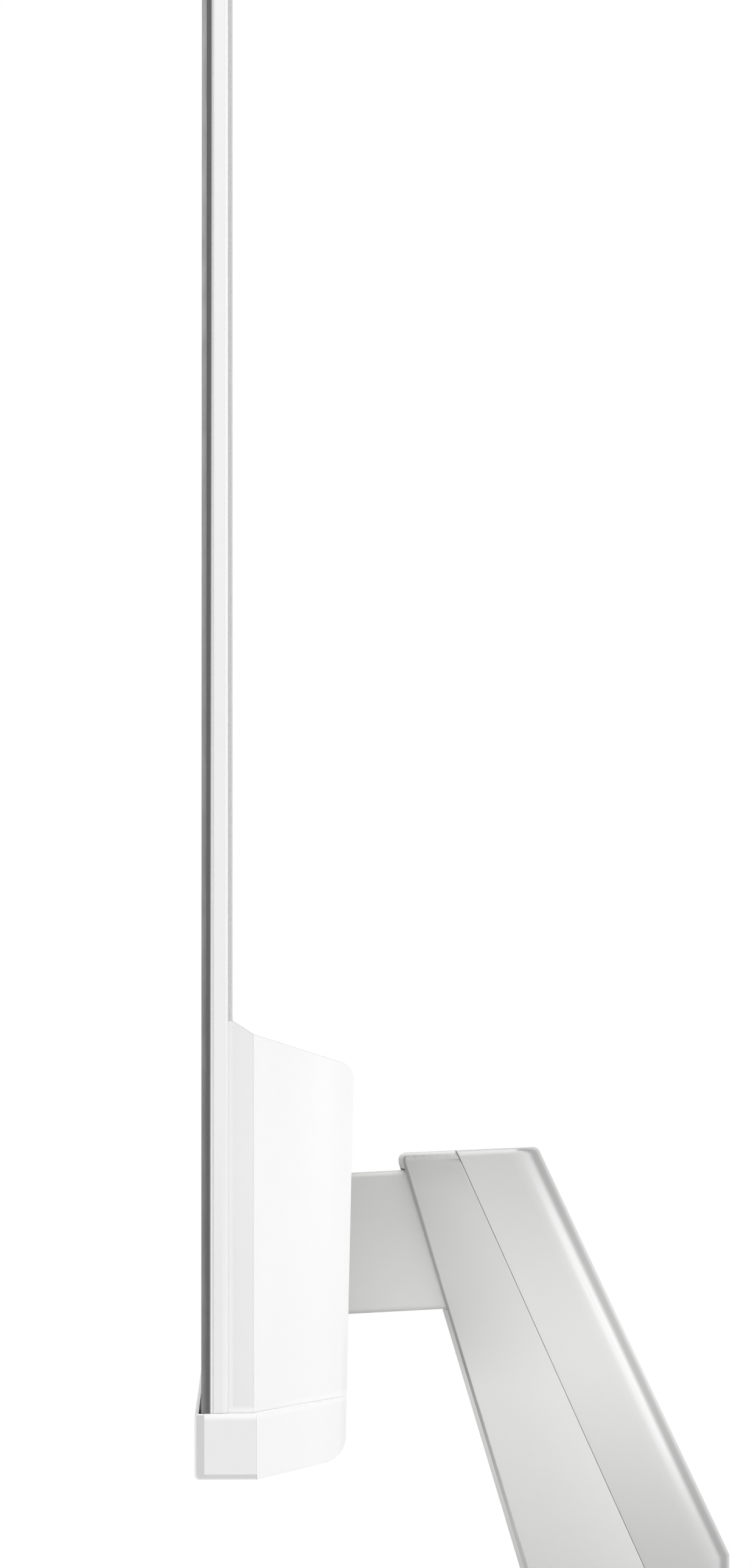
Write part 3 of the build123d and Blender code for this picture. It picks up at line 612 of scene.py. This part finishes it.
def plug_socket():
    """Plated socket shell with a dark plastic tongue inside."""
    socket_w, wall, wall_blur = 0.0152, 0.0014, 0.0002
    tongue_edge, tongue_tone = (0.0009, 0.0007), 0.03
    tone_span, relief = (0.35, 0.65), 0.08
    material, tree, shader = new_material("socket_metal")
    low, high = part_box("video_sockets")
    vector = place(tree)
    across = axis_part(tree, vector, "X")
    line = noise(tree, place(tree, (1, 0.05, 1)), 2500.0, 4.0)
    plating = between(tree, line, (0.58, 0.58, 0.59), (0.68, 0.68, 0.69), tone_span)

    # The tongue lies at mid-height, between the walls of each of the two sockets
    middle = (low.z + high.z) / 2
    off_middle = absolute(tree, maths(tree, "SUBTRACT", axis_part(tree, vector, "Z"), middle))
    from_low = maths(tree, "SUBTRACT", across, low.x)
    from_high = maths(tree, "SUBTRACT", high.x, across)
    from_ends = maths(tree, "MINIMUM", from_low, from_high)
    off_centre = absolute(tree, maths(tree, "SUBTRACT", from_ends, socket_w / 2))
    half = socket_w / 2 - wall
    tongue = product(
        tree,
        span_map(tree, off_middle, *tongue_edge),
        span_map(tree, off_centre, half, half - wall_blur),
    )
    feed(tree, shader, {
        "Base Color": mixed(tree, tongue, plating, grey(tongue_tone)),
        "Metallic": maths(tree, "SUBTRACT", 1.0, tongue),
        "Roughness": level(tree, line, 0.2, 0.3),
    })
    bumped(tree, shader, line, relief, metal_relief)
    return material


def milky_sheet(name, low, high, transmission):
    """Optical film or light guide: milky, faintly clouded."""
    material, tree, shader = new_material(name)
    cloud = noise(tree, place(tree), 30.0, 3.0)
    feed(tree, shader, {
        "Base Color": between(tree, cloud, low, high),
        "Roughness": level(tree, cloud, 0.2, 0.32),
        "Transmission Weight": transmission,
    })
    return material


# Materials and the nodes that wear them

rim_lip = 0.0011
seam_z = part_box("rear_housing")[0].z
wall_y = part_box("bottom_cover")[1].y
lip_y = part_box("back_plate")[1].y
rim_rear_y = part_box("side_frame")[1].y - rim_lip
neck_top_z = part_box("neck_front_shell")[1].z
all_ways = (1, 1, 1)

# White plastic with painted shade low down, at the rear corners and on the side bands, painted
# light on the flanks, and painted highlights on the side lips and along the seam
white_plastic = moulded_plastic(
    "white_plastic", (0.825, 0.825, 0.823), (0.845, 0.845, 0.843), 0.46, soft_edge=0.0004,
    painted_shading=(
        painted_shade_down(0.13, 0.065, 0.05),
        painted_corner_shade(seam_z, wall_y),
        painted_flank_light(seam_z, wall_y),
        side_band_shade_and_highlight(seam_z, lip_y),
        painted_seam_highlight(seam_z),
    ),
)
# Rim with painted shade low down and on its sides
rim_white = moulded_plastic(
    "rim_white", (0.94, 0.94, 0.938), (0.95, 0.95, 0.948), 0.44, soft_edge=0.0003,
    painted_shading=(painted_shade_down(0.34, 0.08, 0.12), shaded_rim(rim_rear_y)),
)
grille_plastic = moulded_plastic("grille_plastic", (0.72, 0.72, 0.715), (0.76, 0.76, 0.755), 0.5)
black_plastic = moulded_plastic("black_plastic", (0.022, 0.022, 0.023), (0.03, 0.03, 0.031), 0.48)
seal_black = moulded_plastic(
    "seal_black", (0.02, 0.02, 0.02), (0.03, 0.03, 0.03), 0.75, grain=900.0, shine=0.1
)
rubber = moulded_plastic(
    "rubber", (0.028, 0.028, 0.028), (0.04, 0.04, 0.04), 0.8, grain=700.0, relief=0.3
)
silver_trim = satin_metal(
    "silver_trim", (0.585, 0.585, 0.583), (0.633, 0.633, 0.631), 0.36, 0.5, (0.03, 1, 1), 2200.0,
    soft_edge=0.0002, corner=0.45,
)
key_silver = satin_metal(
    "key_silver", (0.5, 0.5, 0.5), (0.58, 0.58, 0.578), 0.34, 0.5, all_ways, 2600.0
)
# The arm's and the front shell's paint is set lighter than the rear shell's to make up for the
# shade they stand in: painted light
silver_arm = stand_silver(
    "silver_arm", (0.765, 0.765, 0.752), (0.805, 0.805, 0.792), 0.45,
    painted_shading=(painted_light_at(0.09, 0.17, 0.0), painted_shade_near_housing(-0.016, 0.016, 0.1)),
)
silver_front = stand_silver(
    "silver_front", (0.91, 0.91, 0.905), (0.94, 0.94, 0.935), 0.5, top_z=neck_top_z,
    painted_shading=(
        painted_light_at(0.095, 0.175, 0.0),
        painted_front_corner_shade(0.22, 0.52, 0.38),
        painted_top_edge_highlight(neck_top_z),
    ),
)
silver_back = stand_silver(
    "silver_back", (0.69, 0.69, 0.686), (0.73, 0.73, 0.726), 0.29, relief=0.01,
    painted_shading=(painted_light_at(0.09, 0.21, 0.22), rear_edge_shade_and_highlight(0.79)),
)
silver_base = stand_silver("silver_base", (0.66, 0.66, 0.655), (0.7, 0.7, 0.695), 0.42)
steel = satin_metal(
    "steel", (0.46, 0.46, 0.47), (0.58, 0.58, 0.59), 0.32, 1.0, (0.05, 1, 1), 1500.0
)
dark_steel = satin_metal(
    "dark_steel", (0.1, 0.1, 0.105), (0.16, 0.16, 0.165), 0.36, 1.0, all_ways, 1800.0
)
socket_metal = plug_socket()
circuit_board = solder_mask()
film = milky_sheet("film", (0.84, 0.84, 0.82), (0.9, 0.9, 0.88), 0.0)
acrylic = milky_sheet("acrylic", (0.86, 0.88, 0.89), (0.93, 0.95, 0.95), 0.6)

finishes = [
    (screen_glass(), ["lcd_glass"]),
    (edge_frame(), ["panel_frame"]),
    (plate_paint(), ["back_plate"]),
    (rim_white, ["side_frame"]),
    (seal_black, ["glass_seal"]),
    (film, ["diffuser", "reflector"]),
    (acrylic, ["light_guide"]),
    (white_plastic, ["bottom_cover", "rear_housing"]),
    (grille_plastic, ["vent_grilles"]),
    (black_plastic, ["port_plate", "audio_socket", "power_inlet"]),
    (socket_metal, ["video_sockets"]),
    (circuit_board, ["led_bar", "main_board", "driver_board", "key_board"]),
    (silver_trim, ["chin_trim"]),
    (key_silver, ["menu_key_1", "menu_key_2", "menu_key_3", "menu_key_4", "power_key"]),
    (steel, ["chassis", "board_standoffs", "hinge_bracket", "hinge_shaft"]),
    (steel, ["friction_washers", "hinge_nuts", "neck_spine"]),
    (dark_steel, ["housing_screws", "hinge_screws", "arm_bolts", "base_weight", "base_bolts"]),
    (silver_arm, ["stand_arm"]),
    (silver_front, ["neck_front_shell"]),
    (silver_back, ["neck_rear_shell"]),
    (silver_base, ["base_cover"]),
    (rubber, ["rubber_feet"]),
]
for finish, names in finishes:
    for name in names:
        holder = nodes[name].data.materials
        holder.clear()
        holder.append(finish)


# Screws of the housing, with a rounded head and a cross recess

screw_shank_r = 0.0015
screw_head_t = 0.0018
screw_tip = 0.0006
tip_taper = 0.7
head_rounding = [(0.0, 0.0006), (0.00025, 0.0002), (0.0007, 0.0)]
screw_spin, spin_right, spin_upper = 25, 40, 75


def lathe(shape, profile, steps=32):
    """Closed form turned round the Y axis from (radius, y) points."""
    rings = []
    for radius, y in profile:
        turns = [2 * math.pi * i / steps for i in range(steps)]
        places = [(radius * math.cos(a), y, radius * math.sin(a)) for a in turns]
        rings.append([shape.verts.new(spot) for spot in places])
    for first, second in zip(rings, rings[1:]):
        join_rings(shape, first, second)
    shape.faces.new(rings[0][::-1])
    shape.faces.new(rings[-1])
    bmesh.ops.recalc_face_normals(shape, faces=shape.faces)


def join_rings(shape, first, second):
    """Faces between two rings of as many points."""
    for i in range(len(first)):
        j = (i + 1) % len(first)
        shape.faces.new((first[i], first[j], second[j], second[i]))


def as_object(name, shape):
    """The shape as an object of the scene."""
    mesh = bpy.data.meshes.new(name)
    shape.to_mesh(mesh)
    shape.free()
    piece = bpy.data.objects.new(name, mesh)
    scene.collection.objects.link(piece)
    return piece


def cross_blade(head_r):
    """Form of the cross recess: two tapered blades, a quarter turn apart."""
    proud, depth, taper = 0.0002, 0.0012, 0.45
    wide, thin = head_r * 0.66, head_r * 0.15
    blade = bmesh.new()
    for turned in (False, True):
        rings = []
        for half, y in [(wide, proud), (wide * taper, -depth)]:
            sides = [(half, thin), (-half, thin), (-half, -thin), (half, -thin)]
            places = [(z, y, -x) if turned else (x, y, z) for x, z in sides]
            rings.append([blade.verts.new(spot) for spot in places])
        join_rings(blade, *rings)
        blade.faces.new(rings[0][::-1])
        blade.faces.new(rings[1])
    bmesh.ops.recalc_face_normals(blade, faces=blade.faces)
    return blade


def cross_screw(head_r, shank_r, length):
    """Mesh of one screw, its head's top at the origin and its shank along -Y."""
    blank = bmesh.new()
    lathe(blank, [
        (shank_r * tip_taper, -length),
        (shank_r, -length + screw_tip),
        (shank_r, -screw_head_t),
        (head_r, -screw_head_t),
        *[(head_r - inset, -depth) for inset, depth in head_rounding],
    ])
    body = as_object("screw_blank", blank)
    driver = as_object("screw_blade", cross_blade(head_r))
    cut = body.modifiers.new("recess", "BOOLEAN")
    cut.operation = "DIFFERENCE"
    cut.solver = "EXACT"
    cut.use_self = True
    cut.object = driver
    bpy.context.view_layer.update()
    graph = bpy.context.evaluated_depsgraph_get()
    mesh = bpy.data.meshes.new_from_object(body.evaluated_get(graph))
    for spare in (body, driver):
        bpy.data.objects.remove(spare)
    return mesh


def cross_screws():
    """Cross-recess screws at the places of the housing's plain ones."""
    corners = [v.co.copy() for v in nodes["housing_screws"].data.vertices]
    low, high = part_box("housing_screws")
    middle_z = (low.z + high.z) / 2
    shape = bmesh.new()
    for right in (False, True):
        for upper in (False, True):
            own = [c for c in corners if (c.x > 0) == right and (c.z > middle_z) == upper]
            left_x, right_x = min(c.x for c in own), max(c.x for c in own)
            low_z, high_z = min(c.z for c in own), max(c.z for c in own)
            top_y, foot_y = max(c.y for c in own), min(c.y for c in own)
            mesh = cross_screw((right_x - left_x) / 2, screw_shank_r, top_y - foot_y)
            turn = math.radians(screw_spin + spin_right * right + spin_upper * upper)
            spot = Matrix.Translation(((left_x + right_x) / 2, top_y, (low_z + high_z) / 2))
            mesh.transform(spot @ Matrix.Rotation(turn, 4, "Y"))
            shape.from_mesh(mesh)
            bpy.data.meshes.remove(mesh)
    piece = as_object("cross_screws", shape)
    piece.data.materials.append(dark_steel)
    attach(piece, "screen")
    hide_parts("housing_screws")


cross_screws()


# White surroundings and floor

fill_light = 0.43
floor_r = 0.9
fade_from = 0.17
fade_to = 0.27
floor_glow = 0.68


def seen_rays(tree):
    """One for rays that show the surroundings, nought for rays that light the object."""
    path = add(tree, "ShaderNodeLightPath").outputs
    mirrored = maths(tree, "MAXIMUM", path["Is Glossy Ray"], path["Is Transmission Ray"])
    return maths(tree, "MAXIMUM", path["Is Camera Ray"], mirrored)


def white_surroundings():
    """World that looks white and lights the object more faintly."""
    world = bpy.data.worlds.new("surroundings")
    scene.world = world
    world.use_nodes = True
    tree = world.node_tree
    tree.nodes.clear()
    fill = add(tree, "ShaderNodeBackground", {"Color": grey(1.0), "Strength": fill_light})
    seen = add(tree, "ShaderNodeBackground", {"Color": grey(1.0), "Strength": 1.0})
    inputs = {0: seen_rays(tree), 1: fill.outputs[0], 2: seen.outputs[0]}
    blend = add(tree, "ShaderNodeMixShader", inputs)
    add(tree, "ShaderNodeOutputWorld", {"Surface": blend.outputs[0]})


def pale_floor():
    """Pale floor that keeps the shadow near the base and runs out to white."""
    material, tree, shader = new_material("pale_floor")
    vector = place(tree)
    feed(tree, shader, {
        "Base Color": between(tree, noise(tree, vector, 40.0, 3.0), 0.9, 0.92),
        "Roughness": 0.7,
    })
    length = add(tree, "ShaderNodeVectorMath", {0: vector}, operation="LENGTH")
    away = span_map(tree, length.outputs["Value"], fade_from, fade_to)
    white = add(tree, "ShaderNodeEmission", {"Color": grey(1.0), "Strength": 1.0})
    blend = add(tree, "ShaderNodeMixShader", {
        0: product(tree, away, seen_rays(tree)),
        1: shader.outputs["BSDF"],
        2: white.outputs["Emission"],
    })
    unseen = maths(tree, "SUBTRACT", 1.0, seen_rays(tree))
    strength = maths(tree, "MULTIPLY", unseen, floor_glow)
    glow = add(tree, "ShaderNodeEmission", {"Color": grey(1.0), "Strength": strength})
    inputs = {0: blend.outputs["Shader"], 1: glow.outputs["Emission"]}
    lit = add(tree, "ShaderNodeAddShader", inputs)
    output = next(n for n in tree.nodes if n.bl_idname == "ShaderNodeOutputMaterial")
    feed(tree, output, {"Surface": lit.outputs["Shader"]})
    return material


white_surroundings()
floor_shape = bmesh.new()
bmesh.ops.create_circle(floor_shape, cap_ends=True, radius=floor_r, segments=96)
floor = as_object("floor", floor_shape)
floor.data.materials.append(pale_floor())


# Lights


def softbox(name, place_at, look_at, width, height, power):
    """Rectangular soft light that the camera doesn't see."""
    lamp = bpy.data.lights.new(name, "AREA")
    lamp.shape = "RECTANGLE"
    lamp.size = width
    lamp.size_y = height
    lamp.energy = power
    holder = bpy.data.objects.new(name, lamp)
    holder.location = place_at
    direction = Vector(look_at) - Vector(place_at)
    holder.rotation_euler = direction.to_track_quat("-Z", "Y").to_euler()
    holder.visible_camera = False
    scene.collection.objects.link(holder)
    return holder


front_light = softbox("front_light", (0.35, -0.5, 0.175), (0.04, 0.03, 0.06), 0.2, 0.25, 0.5)
front_light.visible_glossy = False
softbox("top_light", (0.3, 0.1, 1.5), (0.05, 0.0, 0.2), 1.4, 1.4, 12.0)
softbox("back_light", (0.58, 0.46, 0.34), (0.055, 0.065, 0.09), 0.24, 0.07, 0.16)
softbox("high_light", (0.6, -0.03, 0.62), (0.306, -0.045, 0.38), 0.15, 0.15, 0.26)
softbox("rear_light", (0.4, 1.6, 0.4), (0.2, 0.0, 0.12), 1.0, 0.8, 3.0)


# Camera at the photograph's place

camera_at = (1.4, -0.043, 0.13806)
camera_yaw = math.radians(1.695)
camera_pitch = math.radians(4.367)
camera_roll = math.radians(-0.131)
camera_lens = 113.12
sensor_w = 36.0
nearest = 0.02

lens = bpy.data.cameras.new("camera")
lens.lens = camera_lens
lens.sensor_width = sensor_w
lens.clip_start = nearest
camera = bpy.data.objects.new("camera", lens)
camera.location = camera_at
forward = Vector((
    -math.cos(camera_pitch) * math.cos(camera_yaw),
    math.cos(camera_pitch) * math.sin(camera_yaw),
    math.sin(camera_pitch),
))
aim = forward.to_track_quat("-Z", "Y").to_euler()
aim.rotate_axis("Z", camera_roll)
camera.rotation_euler = aim
scene.collection.objects.link(camera)
scene.camera = camera
